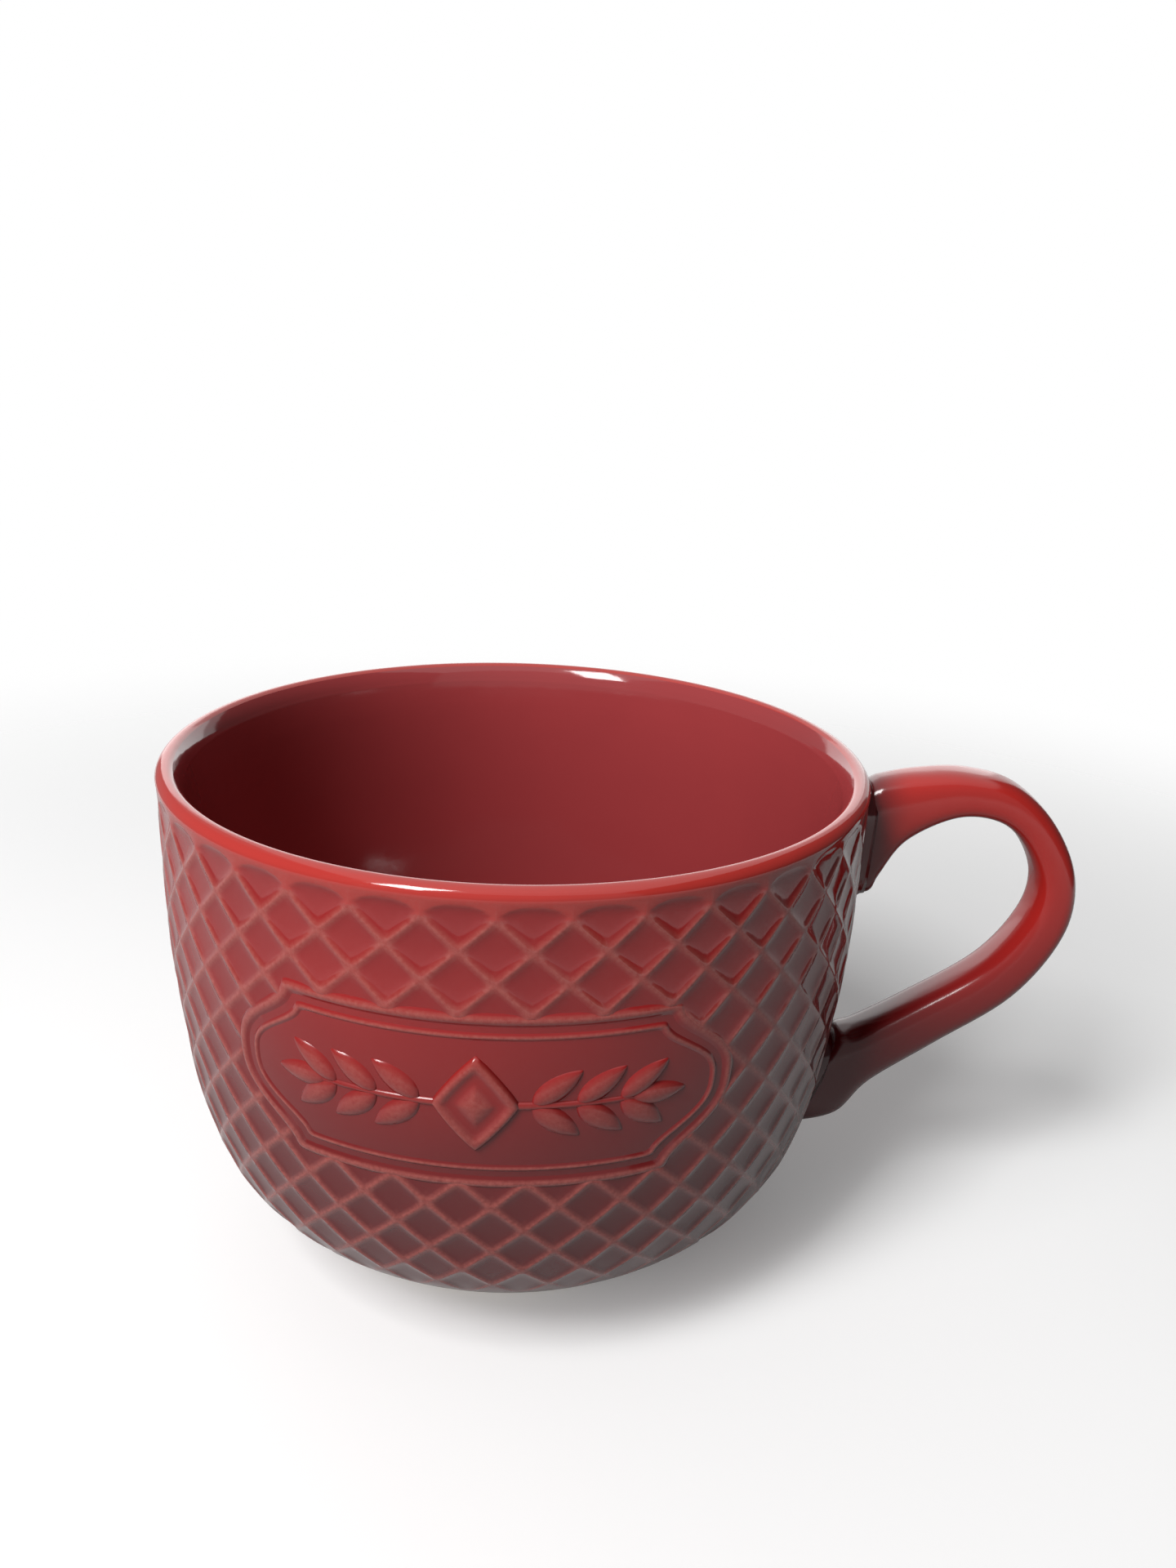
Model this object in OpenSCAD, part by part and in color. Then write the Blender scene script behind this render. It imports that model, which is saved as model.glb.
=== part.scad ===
// Wide soup mug: a turned cup with a raised diamond net, a framed label field and one looped handle.
// Millimetres. Origin on the table under the cup's axis, Z up, handle along +X, label facing -Y.

/* [Cup] */
// Diameter across the lip
rim_d = 120; // [112:1:126]
// Height from the table to the top of the lip
total_h = 90; // [86:1:96]
// Thickness of the rounded lip
lip_t = 2.92; // [2.4:0.1:3.4]
// How far the lip stands out from the wall between the ribs
lip_out = 0.96; // [0.9:0.02:1.1]
// Height of the cup's floor above the table
floor_z = 9.8; // [8.8:0.1:10.8]

/* [Foot] */
// Height of the bare foot
foot_h = 4; // [3.4:0.1:4.6]
// Diameter of the foot where it stands
foot_d = 62; // [58:0.5:63]
// How far the belly starts outside the foot
foot_step = 2; // [1.6:0.1:2.4]
// Width of the face that touches the table
foot_land = 3.2; // [2.2:0.1:4]
// Bevel along both edges of the standing face
foot_bevel = 0.8; // [0.4:0.1:1.2]
// How far the base is hollowed inside the foot
base_rise = 0.8; // [0.2:0.1:1.4]

/* [Diamond net] */
// Diamonds in one turn round the cup
cells_round = 38; // [30:1:38]
// Rows of rib crossings
cross_rows = 16; // [8:1:16]
// Depth of the first row of crossings under the lip's centre line
first_row = 2.95; // [2.8:0.05:3.6]
// Height from one row of crossings to the next
row_pitch = 4.66; // [4:0.02:4.66]
// How far the ribs stand out
rib_h = 0.6; // [0.4:0.05:0.8]
// Width of a rib where it meets the wall
rib_w = 1.5; // [0.9:0.1:1.8]
// Height of the arches over the first row of crossings
arch_h = 2.2; // [1.2:0.1:2.3]

/* [Label frame] */
// Height of the label's centre above the table
label_z = 57.3; // [54:0.1:60]
// Width of the outer bead, measured round the wall
frame_w = 75; // [60:0.2:78]
// Height of the outer bead
frame_h = 27.4; // [24:0.2:29]
// Distance between the two beads at top and bottom
bead_pitch = 2.7; // [2.2:0.1:3.4]
// Width of the outer bead's section
outer_bead_w = 1.9; // [1.4:0.1:2.2]
// Width of the inner bead's section
inner_bead_w = 1.2; // [0.9:0.1:1.5]
// How far the beads stand out
bead_h = 0.8; // [0.5:0.05:1]

/* [Label ornament] */
// Half width of the middle lozenge
lozenge_w = 6.2; // [4:0.2:7]
// Half height of the middle lozenge
lozenge_h = 8; // [5:0.2:9]
// Length of one leaf
leaf_l = 8.6; // [6:0.2:9.2]
// Width of one leaf
leaf_w = 3.6; // [2.2:0.1:4]
// Thickness of the stem
stem_w = 1.2; // [0.8:0.1:1.6]
// Distance from one pair of leaves to the next
leaf_pitch = 6.2; // [5:0.1:6.4]
// How far the ornament stands out
ornament_h = 0.6; // [0.4:0.05:0.8]

/* [Handle] */
// How far the loop reaches from the cup's axis
handle_reach = 99; // [94:0.5:106]
// Width of the strap on the loop
strap_w = 10; // [8:0.5:12]
// Depth of the lower joint's middle under the lip's centre line
lower_seat_drop = 60.9; // [58:0.1:62]
// How far the flat seats of the joints stand out from the wall at least
seat_h = 0.7; // [0.5:0.05:0.9]
// Thickness of the joint layers
joint_t = 0.6; // [0.4:0.05:0.8]

/* [Hidden] */
$fn = 96;

rim_r = rim_d / 2;
lip_r = lip_t / 2;
lip_z = total_h - lip_r;
foot_r = foot_d / 2;
belly_r = foot_r + foot_step;

// Wall outside, under the ribs: share of the way up from the foot to the lip's centre line, and
// share of the way out from the belly's start to the wall's widest.
wall_shares = [
    [0, 0], [0.06, 0.28], [0.11, 0.468], [0.165, 0.64], [0.22, 0.748], [0.27, 0.812],
    [0.38, 0.898], [0.49, 0.94], [0.61, 0.978], [0.74, 0.997], [1, 1]
];
// Hollow, from the lip to the middle of the floor: share of its depth and share of its radius.
hollow_shares = [
    [1, 1], [0.93, 0.993], [0.63, 0.975], [0.38, 0.94], [0.26, 0.905], [0.17, 0.855],
    [0.1, 0.785], [0.055, 0.695], [0.025, 0.59], [0.008, 0.43], [0, 0]
];
profile_steps = 3;

// A smooth curve through the points of a table, in n steps from each point to the next.
function between(p, q, r, s, t) =
    q + (r - p) * t / 2 + (p * 2 - q * 5 + r * 4 - s) * t * t / 2
    + (q * 3 - p - r * 3 + s) * t * t * t / 2;
function smooth_line(pts, n) = [
    for (i = [0 : len(pts) - 2]) for (j = [0 : n - 1])
        between(pts[max(i - 1, 0)], pts[i], pts[i + 1], pts[min(i + 2, len(pts) - 1)], j / n),
    pts[len(pts) - 1]
];
function blend(a, b, t) = a + (b - a) * t;

wall_line = smooth_line(
    [for (s = wall_shares) [blend(belly_r, rim_r - lip_out, s[1]), blend(foot_h, lip_z, s[0])]],
    profile_steps);
hollow_line = smooth_line(
    [for (s = hollow_shares) [s[1] * (rim_r - lip_t), blend(floor_z, lip_z, s[0])]], profile_steps);
wall_table = [for (p = wall_line) [p[1], p[0]]];
function wall_r(z) = lookup(z, wall_table);

// Relief is wrapped round the wall and kept just clear of it.
relief_gap_share = 0.3;
relief_gap = rib_h * relief_gap_share;
function wrap(angle, z, lift) =
    let (r = wall_r(z) + relief_gap + lift) [r * cos(angle), r * sin(angle), z];

// Cup and foot
foot_inner_r = foot_r - foot_land - foot_bevel;
foot_top_r = belly_r - foot_bevel;
lip_turn = 12;

module cup_turned() {
    rotate_extrude()
    polygon(concat(
        wall_line,
        [for (a = [0 : lip_turn : 180 - lip_turn])
            [rim_r - lip_r + lip_r * cos(a), lip_z + lip_r * sin(a)]],
        hollow_line,
        [
            [0, foot_h + base_rise],
            [foot_inner_r - base_rise, foot_h + base_rise],
            [foot_inner_r, foot_h]
        ]
    ));
}

module cup_body() {
    color("#a83a40")
    union() {
        cup_turned();
        on_upper_seat(-upper_depth) layer(upper_depth) polygon(upper_outline);
        on_lower_seat(-lower_depth) layer(lower_depth) polygon(lower_outline);
    }
}

module foot_ring() {
    color("#cdb99c")
    rotate_extrude()
    polygon([
        [foot_inner_r - foot_bevel, foot_h],
        [foot_inner_r - foot_bevel, foot_bevel],
        [foot_inner_r, 0],
        [foot_r - foot_bevel, 0],
        [foot_r, foot_bevel],
        [foot_top_r, foot_h]
    ]);
}

// Handle: each row is one section, as outer reach and drop, inner reach and drop, and two widths.
// Reach is a share of the way from the line between the roots to the loop's end, drop a share of
// the lower joint's depth, and the widths are shares of the strap's width, outside and inside.
handle_shares = [
    [0, 0.035, 0, 0.372, 1.12, 0.62],
    [0.035, 0.02, 0.068, 0.362, 1.1, 0.66],
    [0.075, 0.01, 0.1, 0.31, 1.07, 0.76],
    [0.215, -0.01, 0.195, 0.195, 1.02, 0.96],
    [0.43, -0.02, 0.405, 0.115, 1, 1],
    [0.665, 0.015, 0.595, 0.12, 1, 1],
    [0.86, 0.125, 0.725, 0.185, 1, 1],
    [0.985, 0.285, 0.81, 0.3, 1, 1],
    [0.975, 0.465, 0.78, 0.425, 1, 1],
    [0.8, 0.67, 0.625, 0.575, 1, 1],
    [0.5, 0.845, 0.345, 0.72, 1.01, 1.01],
    [0.265, 0.99, 0.155, 0.81, 1.04, 1.06],
    [0.14, 1.115, 0.08, 0.83, 1, 1.1]
];
lower_width_shares = [0.9, 1.12];
lower_half_share = 0.16;
// Straight stretch of the handle before its lower joint
root_land = 0.9;
handle_steps = 4;
section_power_share = 0.62;
section_points = 20;
// The flat seats, their depth into the wall and how far they pass the handle's roots
upper_depth_share = 0.7;
lower_depth_share = 1.4;
upper_depth = lip_t * upper_depth_share;
lower_depth = lip_t * lower_depth_share;
joint_grow_share = 1.06;

upper_half = lower_seat_drop * (handle_shares[0][3] - handle_shares[0][1]) / 2;
upper_mid_z = lip_z - lower_seat_drop * (handle_shares[0][3] + handle_shares[0][1]) / 2;
upper_seat_x = wall_r(upper_mid_z) + seat_h;
root_x = upper_seat_x + joint_t;
lower_half = lower_seat_drop * lower_half_share;
lower_z = lip_z - lower_seat_drop;

// The lower seat lies along the wall there, and outside its bulge.
function wall_at(t) = let (z = lower_z + lower_half * t) [wall_r(z), z];
lower_run = wall_at(1) - wall_at(-1);
lower_seat_tilt = atan(lower_run[0] / lower_run[1]);
lower_down = [-sin(lower_seat_tilt), -cos(lower_seat_tilt)];
lower_out = [cos(lower_seat_tilt), -sin(lower_seat_tilt)];
lower_bulge = max([for (t = [-1 : 0.1 : 1]) (wall_at(t) - wall_at(0)) * lower_out]);
lower_mid = wall_at(0) + lower_out * (lower_bulge + seat_h);
lower_root = lower_mid + lower_out * joint_t;
function lower_row(lift) = concat(
    lower_root + lower_out * lift + lower_down * lower_half,
    lower_root + lower_out * lift - lower_down * lower_half,
    lower_width_shares
);

function root_line_x(drop) = blend(root_x, lower_root[0], max(0, min(1, drop * 2 - 1)));
function place(reach, drop) =
    [blend(root_line_x(drop), handle_reach, reach), lip_z - drop * lower_seat_drop];
handle_rows = [for (s = handle_shares) concat(place(s[0], s[1]), place(s[2], s[3]), [s[4], s[5]])];
handle_line = concat(
    smooth_line(concat(handle_rows, [lower_row(root_land)]), handle_steps),
    [lower_row(0)]
);

function soft(c) = sign(c) * pow(abs(c), section_power_share);
// One section: place across the thickness from -1 inside to 1 outside, and place across the strap.
section = [
    for (i = [0 : section_points - 1])
        let (a = 360 * i / section_points) [soft(cos(a)), soft(sin(a))]
];
function strap_y(p, row) = p[1] * blend(row[5], row[4], (1 + p[0]) / 2) * strap_w / 2;
function strap_ring(row) = [
    for (p = section) let (t = (1 + p[0]) / 2)
        [blend(row[2], row[0], t), strap_y(p, row), blend(row[3], row[1], t)]
];
function ring_quads(rows, n) = [
    for (i = [0 : rows - 2]) for (j = [0 : n - 1]) let (k = (j + 1) % n)
        [i * n + j, i * n + k, (i + 1) * n + k, (i + 1) * n + j]
];

module handle() {
    rows = len(handle_line);
    color("#b8444a")
    polyhedron(
        points = [for (row = handle_line) each strap_ring(row)],
        faces = concat(
            ring_quads(rows, section_points),
            [[for (j = [section_points - 1 : -1 : 0]) j]],
            [[for (j = [0 : section_points - 1]) (rows - 1) * section_points + j]]
        )
    );
}

// Flat seats on the wall and the thin joint layers between them and the handle's roots
function root_outline(row, half) = [for (p = section) [p[0] * half, strap_y(p, row)] * joint_grow_share];
upper_outline = root_outline(handle_line[0], -upper_half);
lower_outline = root_outline(lower_row(0), lower_half);

module on_upper_seat(lift) {
    translate([upper_seat_x, 0, upper_mid_z]) rotate([0, 90, 0]) translate([0, 0, lift]) children();
}

module on_lower_seat(lift) {
    translate([lower_mid[0], 0, lower_mid[1]]) rotate([0, 90 + lower_seat_tilt, 0])
    translate([0, 0, lift]) children();
}

module layer(depth) {
    linear_extrude(depth) children();
}

module upper_joint() {
    color("#8e2f36") on_upper_seat(0) layer(joint_t) polygon(upper_outline);
}

module lower_joint() {
    color("#8e2f36") on_lower_seat(0) layer(joint_t) polygon(lower_outline);
}

// Label: its outline is straight at top and bottom, pointed at the corners and bulged at the sides.
label_r = wall_r(label_z);
corner_share = 0.742;
side_power_share = 1.4;
top_steps = 12;
side_steps = 16;
function side_s(v, half_w) =
    half_w * (corner_share + (1 - corner_share) * (1 + cos(180 * pow(abs(v), side_power_share))) / 2);
function label_outline(half_w, half_h) = concat(
    [for (i = [0 : top_steps - 1]) [half_w * corner_share * (2 * i / top_steps - 1), half_h]],
    [for (i = [0 : side_steps - 1]) let (v = 1 - 2 * i / side_steps) [side_s(v, half_w), v * half_h]],
    [for (i = [0 : top_steps - 1]) [half_w * corner_share * (1 - 2 * i / top_steps), -half_h]],
    [for (i = [0 : side_steps - 1]) let (v = 2 * i / side_steps - 1) [-side_s(v, half_w), v * half_h]]
);

function unit(v) = v / norm(v);
function side_of(a, b) = let (t = unit(b - a)) [-t[1], t[0]];
function miter(a, p, b) = let (n = side_of(a, p), m = side_of(p, b)) (n + m) / (1 + n * m);
// A bead's section: place across its width, height over the wall
bead_shares = [[-0.5, 0], [-0.28, 0.75], [0, 1], [0.28, 0.75], [0.5, 0]];

module bead(half_w, half_h, width) {
    line = label_outline(half_w, half_h);
    n = len(line);
    m = len(bead_shares);
    points = [
        for (i = [0 : n - 1])
            let (p = line[i], across = miter(line[(i + n - 1) % n], p, line[(i + 1) % n]))
            for (b = bead_shares)
                let (q = p + across * b[0] * width)
                wrap(q[0] / label_r * 180 / PI - 90, label_z + q[1], b[1] * bead_h)
    ];
    faces = [
        for (i = [0 : n - 1]) let (k = (i + 1) % n) for (j = [0 : m - 1]) let (l = (j + 1) % m)
            [i * m + j, i * m + l, k * m + l, k * m + j]
    ];
    polyhedron(points = points, faces = faces);
}

module frame_outer_bead() {
    color("#bb4a50") bead(frame_w / 2, frame_h / 2, outer_bead_w);
}

module frame_inner_bead() {
    color("#bb4a50") bead(frame_w / 2 - bead_pitch, frame_h / 2 - bead_pitch, inner_bead_w);
}

// Ornament in the label's field: a lozenge between two sprigs, as a layer that follows the wall
leaf_r = (leaf_l * leaf_l + leaf_w * leaf_w) / leaf_w / 4;
leaf_pairs = 3;
leaf_lean = 38;
// Places of the first pair of leaves and of the end leaf, and how far the layer passes the lozenge
first_leaf_share = 0.25;
end_leaf_share = 0.5;
layer_share = 1.1;
layer_steps = 6;

module leaf(angle) {
    rotate(angle) translate([leaf_l / 2, 0]) intersection() {
        translate([0, leaf_r - leaf_w / 2]) circle(leaf_r);
        translate([0, leaf_w / 2 - leaf_r]) circle(leaf_r);
    }
}

module sprig() {
    translate([0, -stem_w / 2]) square([lozenge_w + leaf_pairs * leaf_pitch, stem_w]);
    for (i = [0 : leaf_pairs - 1]) translate([lozenge_w + (i + first_leaf_share) * leaf_pitch, 0]) {
        leaf(leaf_lean);
        leaf(-leaf_lean);
    }
    translate([lozenge_w + (leaf_pairs - end_leaf_share) * leaf_pitch, 0]) leaf(0);
}

module label_ornament() {
    reach = lozenge_h * layer_share;
    heights = [for (i = [0 : layer_steps]) label_z + reach * (2 * i / layer_steps - 1)];
    color("#bb4a50")
    intersection() {
        rotate_extrude() polygon(concat(
            [for (z = heights) [wall_r(z) + relief_gap, z]],
            [for (i = [layer_steps : -1 : 0])
                [wall_r(heights[i]) + relief_gap + ornament_h, heights[i]]]
        ));
        translate([0, 0, label_z]) rotate([90, 0, 0]) linear_extrude(rim_d) {
            polygon([[lozenge_w, 0], [0, lozenge_h], [-lozenge_w, 0], [0, -lozenge_h]]);
            sprig();
            mirror([1, 0]) sprig();
        }
    }
}

// Diamond net: one closed skin whose ribs have a ridge along the middle.
// Crossings sit at a whole number of half cells; a diamond's middle is where the two add up even.
half_cell = 180 / cells_round;
arch_steps = 4;
net_rows = cross_rows + 1;
cross_n = cells_round * cross_rows;
cell_n = cells_round * net_rows * 4;
arch_n = cells_round * arch_steps;
side_mm = rim_r * PI / cells_round;
cell_share = 1 - rib_w / 2 * norm([side_mm, row_pitch]) / (side_mm * row_pitch);

function cross_z(k) = lip_z - first_row - (k - 1) * row_pitch;
function net_angle(m) = (m + 0.5) * half_cell - 90;
// The column in its row, from the place m counted in half cells
function col(m, odd) = let (i = (m - odd) / 2) (i + cells_round * 2) % cells_round;
function cross(m, k) = (k - 1) * cells_round + col(m, (k + 1) % 2);
// Corners of a cell on the wall: 0 top, 1 right, 2 bottom, 3 left
function cell(m, k, c) = cross_n + ((k - 1) * cells_round + col(m, k % 2)) * 4 + c;
function arch_up(m, j) = cross_n + cell_n + col(m, 1) * arch_steps + j;
function arch_low(m, j) = arch_up(m, j) + arch_n;
function edge_up(m, j) = arch_n * 2 + (j == arch_steps ? arch_up(m + 2, 0) : arch_up(m, j));
function edge_low(m, j) = arch_n + edge_up(m, j);
// Along an arch, from the crossing on its left to the one on its right
function arch_top(m, j) = j == 0 ? cross(m - 1, 1) : j == arch_steps ? cross(m + 1, 1) : arch_up(m, j);
function arch_foot(m, j) = j == 0 ? cell(m, 1, 3) : j == arch_steps ? cell(m, 1, 1) : arch_low(m, j);

corner_steps = [[0, 1], [1, 0], [0, -1], [-1, 0]];
net_points = concat(
    [for (k = [1 : cross_rows]) for (i = [0 : cells_round - 1])
        wrap(net_angle(2 * i + (k + 1) % 2), cross_z(k), rib_h)],
    [for (k = [1 : net_rows]) for (i = [0 : cells_round - 1]) for (c = corner_steps)
        let (u = c[0] * cell_share, v = c[1] * cell_share)
        wrap(net_angle(2 * i + k % 2 + u), cross_z(k) + v * row_pitch, 0)],
    [for (part = [0, 1]) for (i = [0 : cells_round - 1]) for (j = [0 : arch_steps - 1])
        let (a = 180 * j / arch_steps, in = part == 0 ? 1 : cell_share, lift = part == 0 ? rib_h : 0)
        wrap(net_angle(2 * i + 1 - cos(a) * in), cross_z(1) + arch_h * sin(a) * in, lift)],
    [for (part = [0, 1]) for (i = [0 : cells_round - 1]) for (j = [0 : arch_steps - 1])
        wrap(net_angle(2 * i + 2 * j / arch_steps), lip_z - relief_gap, part == 0 ? rib_h : 0)]
);

net_faces = concat(
    // slopes of the ribs round each diamond
    [for (k = [2 : cross_rows]) for (i = [0 : cells_round - 1]) let (m = 2 * i + k % 2)
        for (f = concat(
            [[cross(m, k - 1), cross(m + 1, k), cell(m, k, 1), cell(m, k, 0)],
             [cross(m - 1, k), cross(m, k - 1), cell(m, k, 0), cell(m, k, 3)]],
            k == cross_rows ? [] :
            [[cross(m + 1, k), cross(m, k + 1), cell(m, k, 2), cell(m, k, 1)],
             [cross(m, k + 1), cross(m - 1, k), cell(m, k, 3), cell(m, k, 2)]]
        )) f],
    // arches over the first row
    [for (i = [0 : cells_round - 1]) let (m = 2 * i + 1)
        for (f = concat(
            [[cross(m + 1, 1), cross(m, 2), cell(m, 1, 2), cell(m, 1, 1)],
             [cross(m, 2), cross(m - 1, 1), cell(m, 1, 3), cell(m, 1, 2)]],
            [for (j = [0 : arch_steps - 1])
                [arch_top(m, j), arch_top(m, j + 1), arch_foot(m, j + 1), arch_foot(m, j)]],
            [for (j = [0 : arch_steps - 1])
                [edge_up(m, j), edge_up(m, j + 1), arch_top(m, j + 1), arch_top(m, j)]],
            [for (j = [0 : arch_steps - 1])
                [arch_foot(m, j), arch_foot(m, j + 1), edge_low(m, j + 1), edge_low(m, j)]],
            [for (j = [0 : arch_steps - 1])
                [edge_up(m, j + 1), edge_up(m, j), edge_low(m, j), edge_low(m, j + 1)]]
        )) f],
    // back of the net along the ribs
    [for (k = [1 : cross_rows - 1]) for (i = [0 : cells_round - 1]) let (m = 2 * i + (k + 1) % 2)
        for (f = [
            [cell(m, k + 1, 0), cell(m, k + 1, 1), cell(m + 1, k, 2), cell(m + 1, k, 3)],
            [cell(m, k + 1, 3), cell(m, k + 1, 0), cell(m - 1, k, 1), cell(m - 1, k, 2)]
        ]) f],
    // back of the net at the crossings
    [for (k = [1 : cross_rows]) for (i = [0 : cells_round - 1]) let (m = 2 * i + (k + 1) % 2)
        [cell(m - 1, k, 1), cell(m, k + 1, 0), cell(m + 1, k, 3),
         k == 1 ? edge_low(m + 1, 0) : cell(m, k - 1, 2)]],
    // tips of the last row
    [for (i = [0 : cells_round - 1]) let (k = cross_rows, m = 2 * i + (k + 1) % 2)
        for (f = [
            [cross(m, k), cell(m + 1, k, 3), cell(m, k + 1, 0)],
            [cross(m, k), cell(m, k + 1, 0), cell(m - 1, k, 1)]
        ]) f]
);

module lattice_relief() {
    past = outer_bead_w / 2 + relief_gap;
    cut = label_outline(frame_w / 2 + past, frame_h / 2 + past);
    color("#b04046")
    resize([0, 0, 0])
    difference() {
        polyhedron(points = net_points, faces = net_faces);
        translate([0, 0, label_z]) rotate([90, 0, 0]) linear_extrude(rim_d)
        polygon([for (p = cut) [label_r * sin(p[0] / label_r * 180 / PI), p[1]]]);
        on_upper_seat(-upper_depth) layer(upper_depth * 2)
        scale(joint_grow_share) polygon(upper_outline);
        on_lower_seat(-lower_depth) layer(lower_depth * 2)
        scale(joint_grow_share) polygon(lower_outline);
    }
}

cup_body();
foot_ring();
lattice_relief();
frame_outer_bead();
frame_inner_bead();
label_ornament();
handle();
upper_joint();
lower_joint();
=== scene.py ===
# A wide soup mug in cherry-red glazed stoneware: a turned cup with a diamond relief pressed into
# its wall, a framed label field with a leaf ornament, and a looped strap handle joined with slip.
import math

import bmesh
import bpy
from mathutils import Matrix, Vector


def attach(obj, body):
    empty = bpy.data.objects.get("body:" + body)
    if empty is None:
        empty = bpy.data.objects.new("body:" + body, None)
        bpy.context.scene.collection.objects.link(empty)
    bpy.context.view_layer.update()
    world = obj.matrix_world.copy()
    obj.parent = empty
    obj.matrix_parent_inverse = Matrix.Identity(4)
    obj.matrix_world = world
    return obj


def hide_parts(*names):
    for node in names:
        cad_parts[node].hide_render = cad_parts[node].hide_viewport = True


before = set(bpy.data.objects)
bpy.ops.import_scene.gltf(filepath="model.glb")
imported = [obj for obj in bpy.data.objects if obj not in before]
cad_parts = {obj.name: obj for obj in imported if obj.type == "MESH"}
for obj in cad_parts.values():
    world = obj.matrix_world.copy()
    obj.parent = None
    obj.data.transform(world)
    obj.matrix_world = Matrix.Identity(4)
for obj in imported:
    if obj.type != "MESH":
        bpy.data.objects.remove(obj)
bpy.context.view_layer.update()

MM = 0.001

# Sizes of the mug in millimetres, as the CAD has them: radii from the cup's axis, heights from the table
RIM_R = 59.98
LIP_TOP = 89.99
LIP_Z = 88.54
LIP_R = 1.88
LIP_INNER_R = 1.3
WALL_R = 59.04
FOOT_WALL_R = 33.0
FOOT_H = 4.0
FOOT_INNER_R = 27.0
FLOOR_Z = 9.8
HOLLOW_R = 57.08
# the wide curve in which the hollow opens under the lip's inner edge, and the angle where it starts
FLARE_R = 7.0
FLARE_FROM = 140

# The net: crossings lie on whole numbers of half cells across and of rows down
CELLS_ROUND = 38
HALF_CELL = math.radians(180 / CELLS_ROUND)
FIRST_ROW = 2.95
ROW_PITCH = 4.66
LAST_ROW = 16
ARCH_H = 2.2
RIB_LIFT = 0.78
DISH_DEPTH = 0.43
# From a diamond's middle square to its rib, the run of its side from the rib into the dish, and how
# sharply that side bends; then the share of the depth that the dish loses towards its corners
DIAMOND_HALF = 3.4
SIDE_RUN = 0.82
SIDE_BEND = 1.45
DISH_BOW = 0.1
# The glaze breaks on a rib from this height over the wall on, fully so this much higher
CREST_FROM = 0.52
CREST_RISE = 0.24
# How much of that shows on the flats round the arches and on the plain belly, and how bright the flats are
WORN_FLATS = 0.25
WORN_BELLY = 0.3
BRIGHT_FLATS = 0.7

# The label on the cup's front
LABEL_Z = 57.3
LABEL_W = 75.0
LABEL_H = 27.4
LABEL_STRAIGHT = 0.742
BEAD_PITCH = 2.7
FIELD_LIFT = 0.30

# Points closer than this are one, in metres
WELD = 0.00001


# ---------------------------------------------------------------- small helpers

def deselect():
    """Leave edit mode and select nothing, since an operator acts on all that is selected."""
    if bpy.context.object and bpy.context.object.mode != 'OBJECT':
        bpy.ops.object.mode_set(mode='OBJECT')
    bpy.ops.object.select_all(action='DESELECT')


def current(name):
    """Name the piece that an operator has just made."""
    piece = bpy.context.object
    piece.name = name
    piece.data.name = name
    return piece


def edit(piece):
    """Open a piece for editing, with all of it selected."""
    deselect()
    piece.select_set(True)
    bpy.context.view_layer.objects.active = piece
    bpy.ops.object.mode_set(mode='EDIT')
    bpy.ops.mesh.select_all(action='SELECT')


def done():
    """Close the piece that is being edited."""
    bpy.ops.object.mode_set(mode='OBJECT')
    bpy.ops.object.select_all(action='DESELECT')


def clean(piece, outward=True):
    """Weld the seams, drop faces that closed up, and turn the normals out if the piece is closed."""
    edit(piece)
    bpy.ops.mesh.remove_doubles(threshold=WELD)
    bpy.ops.mesh.dissolve_degenerate(threshold=WELD)
    if outward:
        bpy.ops.mesh.normals_make_consistent(inside=False)
    done()


def smooth(piece, angle=None):
    """Shade a piece smooth, but for the edges sharper than an angle in degrees."""
    deselect()
    piece.select_set(True)
    bpy.context.view_layer.objects.active = piece
    if angle is None:
        bpy.ops.object.shade_smooth()
    else:
        bpy.ops.object.shade_smooth_by_angle(angle=math.radians(angle))
    bpy.ops.object.select_all(action='DESELECT')


def blend(a, b, t):
    """The value at a share t of the way from a to b."""
    return a + (b - a) * t


def ease(t):
    """A share from 0 to 1 that starts and ends softly."""
    t = max(0.0, min(1.0, t))
    return t * t * (3 - 2 * t)


def smooth_line(points, steps):
    """A smooth line through all points, with the same number of steps between each two."""
    line = []
    points = [Vector(p) for p in points]
    last = len(points) - 1
    for i in range(last):
        p, q, r, s = points[max(i - 1, 0)], points[i], points[i + 1], points[min(i + 2, last)]
        for j in range(steps):
            t = j / steps
            line.append(q + (r - p) * (t / 2) + (p * 2 - q * 5 + r * 4 - s) * (t * t / 2)
                        + (q * 3 - p - r * 3 + s) * (t ** 3 / 2))
    line.append(points[last])
    return line


# ---------------------------------------------------------------- the cup's two profiles

# Pairs of a share of the height and one of the width, up the wall and then down the hollow
WALL_SHARES = [(0, 0), (0.06, 0.28), (0.11, 0.468), (0.165, 0.64), (0.22, 0.748), (0.27, 0.812),
               (0.38, 0.898), (0.49, 0.94), (0.61, 0.978), (0.74, 0.997), (1, 1)]
HOLLOW_SHARES = [(0.976, 0.9742), (0.955, 0.9695), (0.93, 0.965), (0.9, 0.961), (0.84, 0.956),
                 (0.74, 0.95), (0.6, 0.942), (0.38, 0.925), (0.26, 0.898), (0.17, 0.852), (0.1, 0.785),
                 (0.055, 0.695), (0.025, 0.59), (0.008, 0.43), (0, 0)]
wall_line = smooth_line([(blend(FOOT_WALL_R, WALL_R, out), blend(FOOT_H, LIP_Z, up))
                         for up, out in WALL_SHARES], 12)
hollow_line = smooth_line([(HOLLOW_R * out, blend(FLOOR_Z, LIP_Z, up))
                           for up, out in HOLLOW_SHARES], 5)


def arc(middle_r, middle_z, radius, angles):
    """Radius and height of points on a round, at angles counted up from its outer side."""
    return [(middle_r + radius * math.cos(math.radians(a)), middle_z + radius * math.sin(math.radians(a)))
            for a in angles]


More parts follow.
